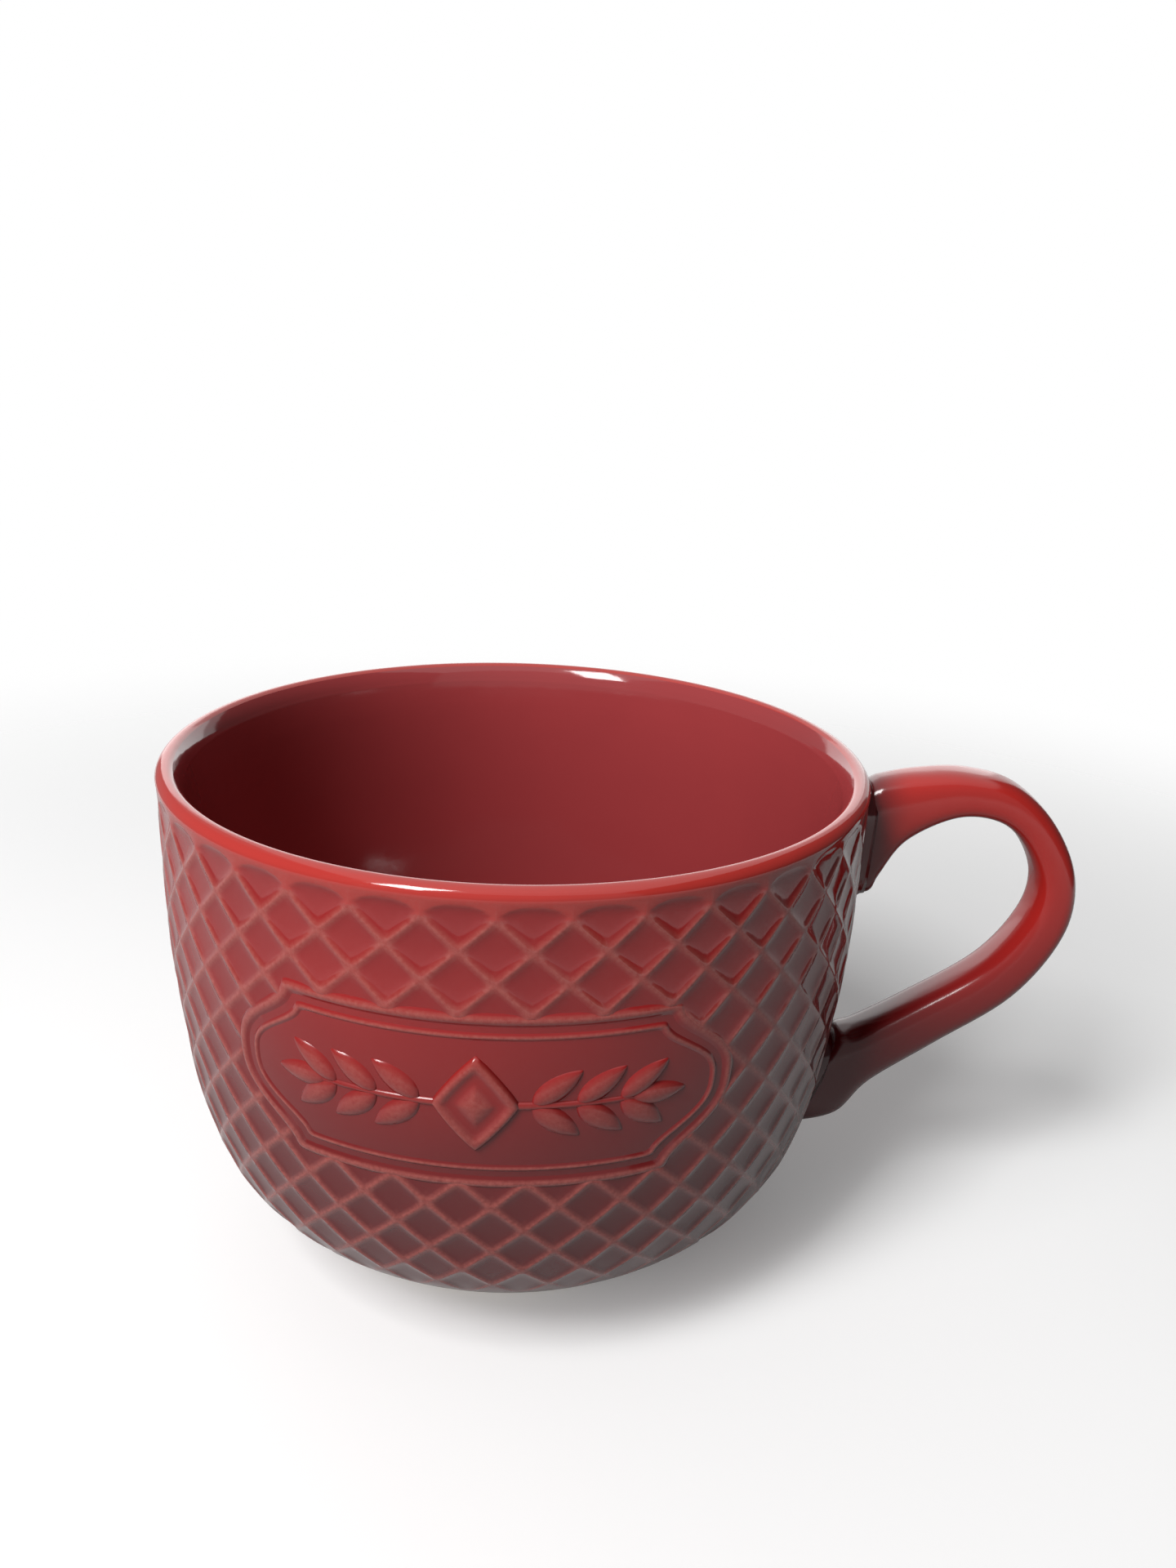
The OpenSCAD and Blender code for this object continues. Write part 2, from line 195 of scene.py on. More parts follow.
# Over the lip, from its outside to where the hollow begins
lip_line = arc(RIM_R - LIP_R, LIP_TOP - LIP_R, LIP_R, (14, 28, 42, 56, 68, 80))
lip_line += arc(RIM_R - LIP_R, LIP_TOP - LIP_INNER_R, LIP_INNER_R, (90, 102, 114, 127, FLARE_FROM))


def wall_r(z):
    """Radius of the wall between the ribs at a height."""
    if z <= wall_line[0][1]:
        return wall_line[0][0]
    low, high = 0, len(wall_line) - 1
    while high - low > 1:
        mid = (low + high) // 2
        if wall_line[mid][1] > z:
            high = mid
        else:
            low = mid
    a, b = wall_line[low], wall_line[high]
    return blend(a[0], b[0], min(1.0, (z - a[1]) / (b[1] - a[1])))


def on_wall(turn, z, lift):
    """A point at an angle and a height, lifted from the wall."""
    r = wall_r(z) + lift
    return Vector((r * math.cos(turn), r * math.sin(turn), z)) * MM


def on_label(across, up, lift):
    """A point of the label, by its place across and up from the label's middle."""
    return on_wall(across / wall_r(LABEL_Z) - math.pi / 2, LABEL_Z + up, lift)


def label_side(v, half_w):
    """Half the label's width at a place from -1 to 1 up it: its ends swell out like a bracket."""
    swell = (1 + math.cos(math.pi * abs(v) ** 1.4)) / 2
    return half_w * (LABEL_STRAIGHT + (1 - LABEL_STRAIGHT) * swell)


def label_outline(half_w, half_h):
    """The label's outline, from the lower left corner round against the clock."""
    top, side = 84, 72
    corner = half_w * LABEL_STRAIGHT
    line = [(corner * (2 * i / top - 1), -half_h) for i in range(top)]
    line += [(label_side(2 * i / side - 1, half_w), half_h * (2 * i / side - 1)) for i in range(side)]
    line += [(corner * (1 - 2 * i / top), half_h) for i in range(top)]
    line += [(-label_side(1 - 2 * i / side, half_w), half_h * (1 - 2 * i / side))
             for i in range(side)]
    return [Vector(p) for p in line]


def inside_label(across, up):
    """How far a place lies inside the outer bead's line, in millimetres, less than 0 outside."""
    half_h = LABEL_H / 2
    v = min(1.0, abs(up) / half_h)
    return min(half_h - abs(up), label_side(v, LABEL_W / 2) - abs(across))


# ---------------------------------------------------------------- the relief wall

# Steps across one diamond: close together on its ribs, wide in its dish
DIAMOND_STEPS = (0, 0.03, 0.075, 0.14, 0.27, 0.5, 0.73, 0.86, 0.925, 0.97, 1)


def row_z(k):
    """Height of a row of crossings, the first being row 1."""
    return LIP_Z - FIRST_ROW - (k - 1) * ROW_PITCH


def slope(from_rib):
    """Share of the full depth at a distance from a rib's middle, in millimetres."""
    return 1 - math.exp(-(max(0.0, from_rib) / SIDE_RUN) ** SIDE_BEND)


def dish(a, b):
    """Depth of a diamond's hollow, for a place from -1 to 1 along each of its two ways."""
    sides = slope((1 - abs(a)) * DIAMOND_HALF) * slope((1 - abs(b)) * DIAMOND_HALF)
    return sides * (1 - DISH_BOW * (a * a + b * b))


def diamond_sheet():
    """The net before it is wrapped: diamonds in a flat sheet, with each point's depth as its height."""
    steps = len(DIAMOND_STEPS) - 1
    weld = 0.0005
    deselect()
    bpy.ops.mesh.primitive_grid_add(x_subdivisions=steps, y_subdivisions=steps, size=2)
    sheet = current("relief_wall")
    for v in sheet.data.vertices:
        i = round((v.co.x + 1) / 2 * steps)
        j = round((v.co.y + 1) / 2 * steps)
        p, q = DIAMOND_STEPS[i], DIAMOND_STEPS[j]
        v.co = (p - q, 1 - p - q, dish(2 * p - 1, 2 * q - 1))
    # a second diamond lies half a cell over and a row down
    edit(sheet)
    bpy.ops.mesh.duplicate_move(TRANSFORM_OT_translate={"value": (1, -1, 0)})
    done()
    for name, count, step in (("round", CELLS_ROUND, (2, 0, 0)),
                              ("down", LAST_ROW // 2 + 1, (0, -2, 0))):
        bpy.context.view_layer.objects.active = sheet
        sheet.select_set(True)
        rows = sheet.modifiers.new(name, 'ARRAY')
        rows.count = count
        rows.use_relative_offset = False
        rows.use_constant_offset = True
        rows.constant_offset_displace = step
        bpy.ops.object.modifier_apply(modifier=name)
    # the lowest row keeps its upper half only
    edit(sheet)
    bpy.ops.mesh.bisect(plane_co=(0, -LAST_ROW, 0), plane_no=(0, 1, 0), clear_inner=True,
                        threshold=weld / 5)
    bpy.ops.mesh.select_all(action='SELECT')
    bpy.ops.mesh.remove_doubles(threshold=weld)
    bpy.ops.mesh.normals_make_consistent(inside=False)
    done()
    return sheet


def wrap_sheet(sheet):
    """Wrap the flat net round the wall, with arches at its top and the label's field left plain."""
    thin = sheet.data.attributes.new("glaze_thin", 'FLOAT', 'POINT')
    bright = sheet.data.attributes.new("glaze_bright", 'FLOAT', 'POINT')
    cell_w = HALF_CELL * WALL_R
    for v in sheet.data.vertices:
        # half cells round, rows down, and the share of the full depth
        m, k, depth = v.co.x + 1, 1 - v.co.y, v.co.z
        z = row_z(k)
        in_arches = k < 0.9999
        if in_arches:
            # the upper half of the first diamonds becomes an arch
            middle = 2 * math.floor(m / 2) + 1
            side, rise = m - middle, 1 - k
            out = abs(side) + rise
            turn = math.pi / 2 * rise / out
            m = middle + math.copysign(out * math.cos(turn), side)
            z = row_z(1) + ARCH_H * out * math.sin(turn)
            reach = math.hypot(cell_w * math.cos(turn), ARCH_H * math.sin(turn))
            depth = blend(depth, slope((1 - out) * reach), ease(turn))
        # the lowest half diamonds are filled up, and belong to the plain belly
        on_belly = not in_arches and round((k + m) / 2) + round((k - m) / 2) > LAST_ROW - 1
        if on_belly:
            depth = 0
        turn = (m + 0.5) * HALF_CELL - math.pi / 2
        lift = RIB_LIFT - DISH_DEPTH * depth
        across = ((turn + math.pi * 1.5) % (2 * math.pi) - math.pi) * wall_r(LABEL_Z)
        # the net gives way to the field within 0.8 mm, under the outer bead
        field = ease(inside_label(across, z - LABEL_Z) / 0.8 + 0.5)
        v.co = on_wall(turn, z, blend(lift, FIELD_LIFT, field))
        ridge = ease((lift - CREST_FROM) / CREST_RISE)
        worn = WORN_FLATS if in_arches else WORN_BELLY if on_belly else 1
        thin.data[v.index].value = ridge * (1 - field) * worn
        bright.data[v.index].value = ridge * BRIGHT_FLATS if in_arches else 0
    clean(sheet, outward=False)


def select_rim(piece, low, high):
    """Select the open edges that lie between two heights in millimetres."""
    edit(piece)
    bpy.ops.mesh.select_all(action='DESELECT')
    bpy.ops.mesh.select_mode(type='EDGE')
    bpy.ops.mesh.select_non_manifold(extend=False, use_wire=False, use_multi_face=False,
                                     use_non_contiguous=False, use_verts=False)
    bm = bmesh.from_edit_mesh(piece.data)
    for e in bm.edges:
        if e.select and not all(low < v.co.z / MM < high for v in e.verts):
            e.select = False
    bm.select_flush_mode()
    bmesh.update_edit_mesh(piece.data)


def extrude_ring(piece, place):
    """Extrude the selected ring and put each new point where place says."""
    bpy.ops.mesh.extrude_edges_move()
    bm = bmesh.from_edit_mesh(piece.data)
    for v in bm.verts:
        if v.select:
            v.co = place(v.co)
    bmesh.update_edit_mesh(piece.data)


def ring_at(radius, z):
    """Where extrude_ring puts a point that goes to a radius and a height."""
    def place(co):
        flat = Vector((co.x, co.y, 0)).normalized() * radius * MM
        return Vector((flat.x, flat.y, z * MM))
    return place


def relief_wall():
    """The cup's outer wall: arches, diamonds, the plain belly under them and a hidden back."""
    near_lip, near_foot = (80, 90), (5, 20)
    belly_steps, back = 8, 0.5
    wall = diamond_sheet()
    wrap_sheet(wall)
    # spandrels over the arches run straight up into the rounded lip
    select_rim(wall, *near_lip)
    extrude_ring(wall, ring_at(WALL_R + RIB_LIFT + 0.02, LIP_TOP - LIP_R - 0.1))
    for r, z in lip_line:
        extrude_ring(wall, ring_at(r, z))
    done()
    # plain belly down to the foot, turned under it, then the back half a millimetre inside the wall
    select_rim(wall, *near_foot)
    for step in range(1, belly_steps + 1):
        share = step / belly_steps
        z = blend(row_z(LAST_ROW + 1), FOOT_H, share)
        lift = RIB_LIFT * ease(1.2 - share)
        extrude_ring(wall, ring_at(wall_r(z) + lift, z))
    extrude_ring(wall, ring_at(FOOT_WALL_R - 1.2, FOOT_H + 0.03))
    for z in (5.5, 9, 13, 18, 23, 29, 38, 50, 65, 80, 87.5):
        extrude_ring(wall, ring_at(wall_r(z) - back, z))
    done()
    select_rim(wall, *near_lip)
    bpy.ops.mesh.bridge_edge_loops()
    done()
    clean(wall)
    smooth(wall, 60)
    # the glaze runs off the rounded edge as it melts, so it is clear and bright there
    run_z, run_h = 87.85, 0.5
    thin, bright = (wall.data.attributes[name].data for name in ("glaze_thin", "glaze_bright"))
    for v in wall.data.vertices:
        over = ease((v.co.z / MM - run_z) / run_h)
        if over > 0:
            bright[v.index].value = blend(BRIGHT_FLATS, 1, over)
            thin[v.index].value = 0.5 * (1 - over)
    return wall


# ---------------------------------------------------------------- turned pieces

def turned(name, profile, steps):
    """A profile from axis to axis in the XZ plane, spun round into a closed piece."""
    deselect()
    bpy.ops.mesh.primitive_circle_add(vertices=len(profile), radius=1, fill_type='NOTHING')
    piece = current(name)
    for v, (r, z) in zip(piece.data.vertices, profile):
        v.co = (r * MM, 0, z * MM)
    edit(piece)
    bpy.ops.mesh.spin(steps=steps, angle=2 * math.pi, center=(0, 0, 0), axis=(0, 0, 1))
    done()
    clean(piece)
    return piece


def hollow_and_base():
    """The smooth inside and the base, with a hidden core behind the relief."""
    # the flare starts on the lip's inner edge, in the same direction
    edge_r, edge_z = lip_line[-1]
    start = math.radians(FLARE_FROM)
    flare = arc(edge_r - FLARE_R * math.cos(start), edge_z - FLARE_R * math.sin(start), FLARE_R,
                range(FLARE_FROM, 166, 3))
    core = [(wall_r(z) - 0.9, z) for z in (6, 10, 15, 20, 26, 34, 45, 60, 75, 86.5)]
    # the recess under the base, within the foot ring
    under = [(0, FOOT_H + 0.8), (FOOT_INNER_R - 0.8, FOOT_H + 0.8), (FOOT_INNER_R - 0.1, FOOT_H + 0.1),
             (FOOT_WALL_R - 2, FOOT_H + 0.1)]
    profile = [tuple(p) for p in hollow_line] + under + core + flare
    piece = turned("hollow_and_base", profile, 8 * CELLS_ROUND)
    smooth(piece, 60)
    return piece


# ---------------------------------------------------------------- pieces rolled from a grid

def rolled(name, rows, cols, place, closed_rows=False):
    """A grid whose columns close into a tube, and its rows into a ring if asked."""
    deselect()
    bpy.ops.mesh.primitive_grid_add(x_subdivisions=rows, y_subdivisions=cols, size=2)
    piece = current(name)
    for v in piece.data.vertices:
        i = round((v.co.x + 1) / 2 * rows)
        j = round((v.co.y + 1) / 2 * cols)
        v.co = place(i % rows if closed_rows else i, j % cols)
    clean(piece)
    if not closed_rows:
        edit(piece)
        bpy.ops.mesh.select_all(action='DESELECT')
        bpy.ops.mesh.select_non_manifold()
        bpy.ops.mesh.fill_holes(sides=0)
        bpy.ops.mesh.select_all(action='SELECT')
        bpy.ops.mesh.normals_make_consistent(inside=False)
        done()
    return piece


def thin_on_crests(piece, low, high, most=1.0):
    """Mark where the glaze runs thin: from nothing at one height over the wall to most at another."""
    thin = piece.data.attributes.new("glaze_thin", 'FLOAT', 'POINT')
    for v in piece.data.vertices:
        lift = math.hypot(v.co.x, v.co.y) / MM - wall_r(v.co.z / MM)
        thin.data[v.index].value = most * ease((lift - low) / (high - low))


def label_bead(name, grow, width, crest, inner_foot, outer_foot):
    """A soft bead along the label's outline grown by some millimetres; crest and feet are its lifts."""
    across_steps, softening, hidden = 12, 3, -0.6
    # one outline for each step across the bead, its four corners softened as glaze fills them
    lines = []
    for j in range(across_steps + 1):
        out = grow + width * (j / across_steps - 0.5)
        line = label_outline(LABEL_W / 2 + out, LABEL_H / 2 + out)
        for _ in range(softening):
            line = [(line[i - 1] + p * 2 + line[(i + 1) % len(line)]) / 4 for i, p in enumerate(line)]
        lines.append(line)

    def place(i, j):
        if j > across_steps:
            # the back, inside the wall
            return on_label(*lines[across_steps // 2][i], hidden)
        foot = blend(inner_foot, outer_foot, j / across_steps)
        swell = ((1 - math.cos(2 * math.pi * j / across_steps)) / 2) ** 0.8
        return on_label(*lines[j][i], blend(foot, crest, swell))

    bead = rolled(name, len(lines[0]), across_steps + 2, place, closed_rows=True)
    smooth(bead)
    thin_on_crests(bead, blend(outer_foot, crest, 0.6), crest)
    return bead


# ---------------------------------------------------------------- the handle

# How far the roots' sections stand off the wall, and how far both ends run on into it from there
ROOT_OFF = 1.3
UPPER_INTO = 2.4
LOWER_INTO = 2.6
REACH = 98.96
STRAP_W = 10.0
SEAT_DROP = 60.9
LOWER_HALF = SEAT_DROP * 0.16
# How full the strap's section is: 1 is an oval, less comes nearer to a rounded box
SECTION_POWER = 0.66
AROUND = 48
# One row a section: outer reach and drop, inner reach and drop, width outside and inside
HANDLE_SHARES = [
    (0, 0.035, 0, 0.372, 1.12, 0.62),
    (0.035, 0.02, 0.068, 0.362, 1.1, 0.66),
    (0.075, 0.01, 0.1, 0.31, 1.07, 0.76),
    (0.215, -0.01, 0.195, 0.195, 1.02, 0.96),
    (0.43, -0.02, 0.405, 0.115, 1, 1),
    (0.665, 0.015, 0.595, 0.12, 1, 1),
    (0.86, 0.125, 0.725, 0.185, 1, 1),
    (0.985, 0.285, 0.81, 0.3, 1, 1),
    (0.975, 0.465, 0.78, 0.425, 1, 1),
    (0.8, 0.67, 0.625, 0.575, 1, 1),
    (0.5, 0.845, 0.345, 0.72, 1.01, 1.01),
    (0.265, 0.99, 0.155, 0.81, 1.04, 1.06),
    (0.14, 1.115, 0.08, 0.83, 1, 1.1),
]
root_x = WALL_R + ROOT_OFF
lower_z = LIP_Z - SEAT_DROP
lower_tilt = math.atan((wall_r(lower_z + LOWER_HALF) - wall_r(lower_z - LOWER_HALF))
                       / (2 * LOWER_HALF))
lower_down = Vector((-math.sin(lower_tilt), -math.cos(lower_tilt)))
lower_out = Vector((math.cos(lower_tilt), -math.sin(lower_tilt)))
lower_root = Vector((wall_r(lower_z), lower_z)) + lower_out * ROOT_OFF


def handle_rows():
    """Each section's outer and inner point in the handle's plane, and its two widths."""
    rows = []
    for out, drop, inner, inner_drop, wide, narrow in HANDLE_SHARES:
        row = []
        for share, down in ((out, drop), (inner, inner_drop)):
            start = blend(root_x, lower_root.x, max(0, min(1, down * 2 - 1)))
            row += [blend(start, REACH, share), LIP_Z - down * SEAT_DROP]
        rows.append(row + [wide, narrow])
    for lift in (0.9, 0):
        outer = lower_root + lower_out * lift + lower_down * LOWER_HALF
        inner = lower_root + lower_out * lift - lower_down * LOWER_HALF
        rows.append([outer.x, outer.y, inner.x, inner.y, 0.9, 1.12])
    return rows


def section_point(row, turn, grow=0.0):
    """A point at an angle round a section's outline, which may be grown by some millimetres."""
    c, s = math.cos(turn), math.sin(turn)
    c = math.copysign(abs(c) ** SECTION_POWER, c)
    s = math.copysign(abs(s) ** SECTION_POWER, s)
    outer, inner = Vector(row[0:2]), Vector(row[2:4])
    middle, half = (outer + inner) / 2, (outer - inner) / 2
    t = (1 + c) / 2
    wide = blend(row[5], row[4], t) * STRAP_W / 2
    point = middle + half * (c * (1 + grow / half.length))
    return Vector((point.x, s * (wide + grow), point.y))


handle_line = [list(r) for r in smooth_line(handle_rows(), 8)]
# both ends run on into the wall
handle_line.insert(0, [x - UPPER_INTO if i in (0, 2) else x for i, x in enumerate(handle_line[0])])
into = lower_out * -LOWER_INTO
handle_line.append([x + (into.x if i in (0, 2) else into.y if i in (1, 3) else 0)
                    for i, x in enumerate(handle_line[-1])])


def strap_handle():
    """The looped strap, lofted through its sections from root to root."""
    def place(i, j):
        return section_point(handle_line[i], 2 * math.pi * j / AROUND) * MM

    handle = rolled("strap_handle", len(handle_line) - 1, AROUND, place)
    smooth(handle, 60)
    # painted shade, with some pooled glaze: the corners at both roots darken within 9 mm of the wall
    pooled = handle.data.attributes.new("glaze_pooled", 'FLOAT', 'POINT')
    for v in handle.data.vertices:
        off_wall = v.co.x / MM - wall_r(v.co.z / MM)
        pooled.data[v.index].value = ease((9 - off_wall) / 8)
    return handle


# Rows of the slip's collar, from the strap down to the wall and under it: how far out from the strap,
# how far along it, and for the two that follow the wall how deep under the ribs' crests
COLLAR = ((0.03, 1.7, None), (0.16, 1.0, None), (0.5, 0.5, None), (1.1, 0.1, 0.05), (1.2, -0.9, 1.0),
          (-0.6, -0.9, None))


def slip_joint(name, row, out):
    """The soft collar of slip where the strap meets the wall."""
    def place(i, j):
        turn = 2 * math.pi * i / AROUND
        grow, lift, under = COLLAR[j]
        point = section_point(row, turn, grow) + Vector((out.x, 0, out.y)) * lift
        if under is not None:
            r = wall_r(point.z) + RIB_LIFT - under
            point.x = math.sqrt(r * r - point.y ** 2)
        return point * MM

    collar = rolled(name, AROUND, len(COLLAR), place, closed_rows=True)
    smooth(collar)
    return collar


# ---------------------------------------------------------------- the label's ornament

LOZENGE_W = 6.2
LOZENGE_H = 8.0
# Its rings from the edge in, as share of its size and lift over the field: rim, sunk field, boss
LOZENGE_RINGS = ((1.0, -0.5), (1.0, -0.06), (0.97, 0.34), (0.92, 0.64), (0.85, 0.76), (0.77, 0.69),
                 (0.7, 0.44), (0.62, 0.26), (0.46, 0.26), (0.4, 0.36), (0.3, 0.6), (0.15, 0.78),
                 (0.0, 0.84))
# 1 gives it straight sides and sharp corners, 2 makes it an oval
LOZENGE_POWER = 1.12
LEAF_PITCH = 6.2
LEAF_W = 3.9
LEAF_H = 0.84
LEAF_LEAN = 38
STEM_R = 0.6
STEM_FROM = 5.8
STEM_TO = 23.4


def leaf(length, at, angle):
    """A small pillow with a furrow along its middle, laid on the label's field."""
    rows, cols = 14, 12
    turn = Matrix.Rotation(math.radians(angle), 2)

    def place(i, j):
        u = -math.cos(math.pi * i / rows)
        full = max(0.0, 1 - u * u) ** 0.75 * (1 - 0.22 * u)
        v = math.cos(2 * math.pi * j / cols)
        top = math.sin(2 * math.pi * j / cols) > -0.01
        furrow = 1 - 0.14 * math.exp(-(v / 0.24) ** 2)
        lift = LEAF_H * (1 - v * v) ** 0.9 * full ** 0.6 * furrow
        p = Vector(at) + turn @ Vector(((u + 1) / 2 * length, v * full * LEAF_W / 2))
        return on_label(p.x, p.y, FIELD_LIFT - 0.08 + lift if top else FIELD_LIFT - 0.5)

    piece = rolled("leaf", rows, cols, place)
    smooth(piece, 50)
    return piece


def lozenge():
    """The middle lozenge: a raised rim round a sunk field with a small boss."""
    around = 48

    def place(i, j):
        share, lift = LOZENGE_RINGS[i]
        turn = 2 * math.pi * j / around
        c, s = math.cos(turn), math.sin(turn)
        out = share / (abs(c) ** LOZENGE_POWER + abs(s) ** LOZENGE_POWER) ** (1 / LOZENGE_POWER)
        return on_label(LOZENGE_W * out * c, LOZENGE_H * out * s, FIELD_LIFT + lift)

    piece = rolled("ornament_lozenge", len(LOZENGE_RINGS) - 1, around, place)
    smooth(piece)
    return piece


def stem(side):
    """A thin round stem from the lozenge to the end leaf."""
    rows, cols = 24, 8

    def place(i, j):
        x = side * blend(STEM_FROM, STEM_TO, i / rows)
        turn = 2 * math.pi * j / cols
        thick = STEM_R * blend(1, 0.6, i / rows)
        return on_label(x, thick * math.cos(turn), FIELD_LIFT + thick * math.sin(turn) * 0.8)

    piece = rolled("stem", rows, cols, place)
    smooth(piece, 50)
    return piece


def ornament():
    """A lozenge between two sprigs: on each a stem, three pairs of leaves and one at its end."""
    parts = [lozenge()]
    for side in (-1, 1):
        flip = 0 if side > 0 else 180
        parts.append(stem(side))
        for i in range(3):
            for lean in (-LEAF_LEAN, LEAF_LEAN):
                # a pair's two leaves start just apart, one on each side of the stem's middle
                at = (side * (LOZENGE_W + (i + 0.25) * LEAF_PITCH), math.copysign(0.15, lean * side))
                parts.append(leaf(8.6, at, flip + lean))
        parts.append(leaf(8.4, (side * (LOZENGE_W + 2.5 * LEAF_PITCH), 0), flip))
    deselect()
    for part in parts:
        part.select_set(True)
    bpy.context.view_layer.objects.active = parts[0]
    bpy.ops.object.join()
    sprigs = current("label_sprigs")
    deselect()
    thin_on_crests(sprigs, 0.5, 1.1, 0.8)
    return sprigs


# ---------------------------------------------------------------- materials

WHITE = (1, 1, 1, 1)


def linear(code):
    """An sRGB hex colour as linear light."""
    values = [int(code[i:i + 2], 16) / 255 for i in (1, 3, 5)]
    return tuple(c / 12.92 if c <= 0.04045 else ((c + 0.055) / 1.055) ** 2.4 for c in values) + (1,)


def node(tree, kind, links=None, **settings):
    """Add a node with its settings and links: a link's key is an input, its value an output."""
    n = tree.nodes.new(kind)
    inputs = settings.pop("inputs", {})
    for key, value in settings.items():
        setattr(n, key, value)
    for key, value in inputs.items():
        n.inputs[key].default_value = value
    for key, value in (links or {}).items():
        tree.links.new(value, n.inputs[key])
    return n


def grain_scale(mm):
    """The noise scale whose grains or waves are about this many millimetres."""
    return 1 / (mm * MM)


def material(name):
    """An empty material and its node tree."""
    m = bpy.data.materials.new(name)
    m.use_nodes = True
    m.node_tree.nodes.clear()
    return m, m.node_tree


def glaze(name, body, thin, pooled, low, edge="#ac2f29", roughness=0.09):
    """Glassy red glaze, fired on: paler where it runs thin, darker towards the bottom, and darkened round
    the handle's roots by painted shade with some pooled glaze.

    body and pooled are its two tones, thin its colour on crests, low its colour towards the bottom and in
    the painted shade round the roots, and edge its colour where the glaze has gone clear.
    """
    m, t = material(name)
    place = node(t, 'ShaderNodeTexCoord').outputs['Object']
    # the glaze's thickness wanders over some 25 mm
    cloud = node(t, 'ShaderNodeTexNoise', {'Vector': place},
                 inputs={'Scale': grain_scale(25), 'Detail': 2.0, 'Roughness': 0.5})
    tone = node(t, 'ShaderNodeMapRange', {'Value': cloud.outputs['Fac']},
                inputs={'From Min': 0.35, 'From Max': 0.65, 'To Min': 0.0, 'To Max': 0.3})
    deep = node(t, 'ShaderNodeMix', {'Factor': tone.outputs['Result']}, data_type='RGBA')
    deep.inputs['A'].default_value = linear(body)
    deep.inputs['B'].default_value = linear(pooled)
    # from 78 mm down to 30 mm the colour turns ever darker, towards the low colour
    height = node(t, 'ShaderNodeSeparateXYZ', {'Vector': place}).outputs['Z']
    darkening = node(t, 'ShaderNodeMapRange', {'Value': height}, interpolation_type='SMOOTHSTEP',
               inputs={'From Min': 0.078, 'From Max': 0.03})
    # the painted shade round the handle's roots, partly pooled glaze, darkens towards low the same way
    corner = node(t, 'ShaderNodeAttribute', attribute_name="glaze_pooled")
    darkening = node(t, 'ShaderNodeMath', {0: darkening.outputs['Result'], 1: corner.outputs['Fac']},
               operation='MAXIMUM')
    deep = node(t, 'ShaderNodeMix', {'Factor': darkening.outputs['Value'], 'A': deep.outputs['Result']},
                data_type='RGBA')
    deep.inputs['B'].default_value = linear(low)
    # it has run clear off the lip and off the flats between the arches
    clear = node(t, 'ShaderNodeAttribute', attribute_name="glaze_bright")
    deep = node(t, 'ShaderNodeMix', {'Factor': clear.outputs['Fac'], 'A': deep.outputs['Result']},
                data_type='RGBA')
    deep.inputs['B'].default_value = linear(edge)
    ridge = node(t, 'ShaderNodeAttribute', attribute_name="glaze_thin")
    # thin glaze breaks in small grains of about half a millimetre
    grain = node(t, 'ShaderNodeTexNoise', {'Vector': place},
                 inputs={'Scale': grain_scale(0.625), 'Detail': 3.0, 'Roughness': 0.6})
    broken = node(t, 'ShaderNodeMath', {0: ridge.outputs['Fac'], 1: grain.outputs['Fac']},
                  operation='MULTIPLY')
    share = node(t, 'ShaderNodeMath', {0: broken.outputs['Value']}, operation='MULTIPLY',
                 inputs={1: 1.2}, use_clamp=True)
    colour = node(t, 'ShaderNodeMix', {'Factor': share.outputs['Value'], 'A': deep.outputs['Result']},
                  data_type='RGBA')
    colour.inputs['B'].default_value = linear(thin)
    # a fired surface is never quite flat: waves of about 4 mm, far shallower than they are long
    waves = node(t, 'ShaderNodeTexNoise', {'Vector': place},
                 inputs={'Scale': grain_scale(3.85), 'Detail': 1.0, 'Roughness': 0.4})
    bump = node(t, 'ShaderNodeBump', {'Height': waves.outputs['Fac']},
                inputs={'Strength': 0.1, 'Distance': 0.0003})
    shader = node(t, 'ShaderNodeBsdfPrincipled',
                  {'Base Color': colour.outputs['Result'], 'Normal': bump.outputs['Normal']},
                  inputs={'Roughness': roughness, 'IOR': 1.52})
    node(t, 'ShaderNodeOutputMaterial', {'Surface': shader.outputs['BSDF']})
    return m


def bare_stoneware():
    """Unglazed fired clay, wiped clean with a wet sponge: matt and buff, with sand of about 1 mm."""
    m, t = material("bare_stoneware")
    place = node(t, 'ShaderNodeTexCoord').outputs['Object']
    sand = node(t, 'ShaderNodeTexNoise', {'Vector': place},
                inputs={'Scale': grain_scale(1.11), 'Detail': 4.0, 'Roughness': 0.65})
    colour = node(t, 'ShaderNodeMix', {'Factor': sand.outputs['Fac']}, data_type='RGBA')
    colour.inputs['A'].default_value = linear("#b7a587")
    colour.inputs['B'].default_value = linear("#d9cbb0")
    bump = node(t, 'ShaderNodeBump', {'Height': sand.outputs['Fac']},
                inputs={'Strength': 0.35, 'Distance': 0.0003})
    shader = node(t, 'ShaderNodeBsdfPrincipled',
                  {'Base Color': colour.outputs['Result'], 'Normal': bump.outputs['Normal']},
                  inputs={'Roughness': 0.85, 'IOR': 1.5})
    node(t, 'ShaderNodeOutputMaterial', {'Surface': shader.outputs['BSDF']})
    return m


def dress(piece, mat, slot, *nodes):
    """Give a piece its material and its body, and hide the CAD nodes that it stands for. The slot is not
    used.
    """
    piece.data.materials.clear()
    piece.data.materials.append(mat)
    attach(piece, "root")
    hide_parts(*nodes)


# ---------------------------------------------------------------- build and dress the mug

# sprayed over the pressed relief and fired glossy: deep red in the diamonds, dusty rose on their crests
cherry = glaze("cherry_glaze", "#911c1c", "#a4534b", "#7a171c", "#5c1618")
# the same glaze, thinner on the smooth strap: a clearer, warmer red with soft-edged highlights
clear_cherry = glaze("clear_cherry_glaze", "#a8241f", "#a84e48", "#9c201c", "#64171a", roughness=0.17)
# dabbed over the modelled leaves, which it blunts: a little lighter than the wall, with dull glints
soft_cherry = glaze("soft_cherry_glaze", "#981d1c", "#a4534b", "#861819", "#5c1618", roughness=0.2)
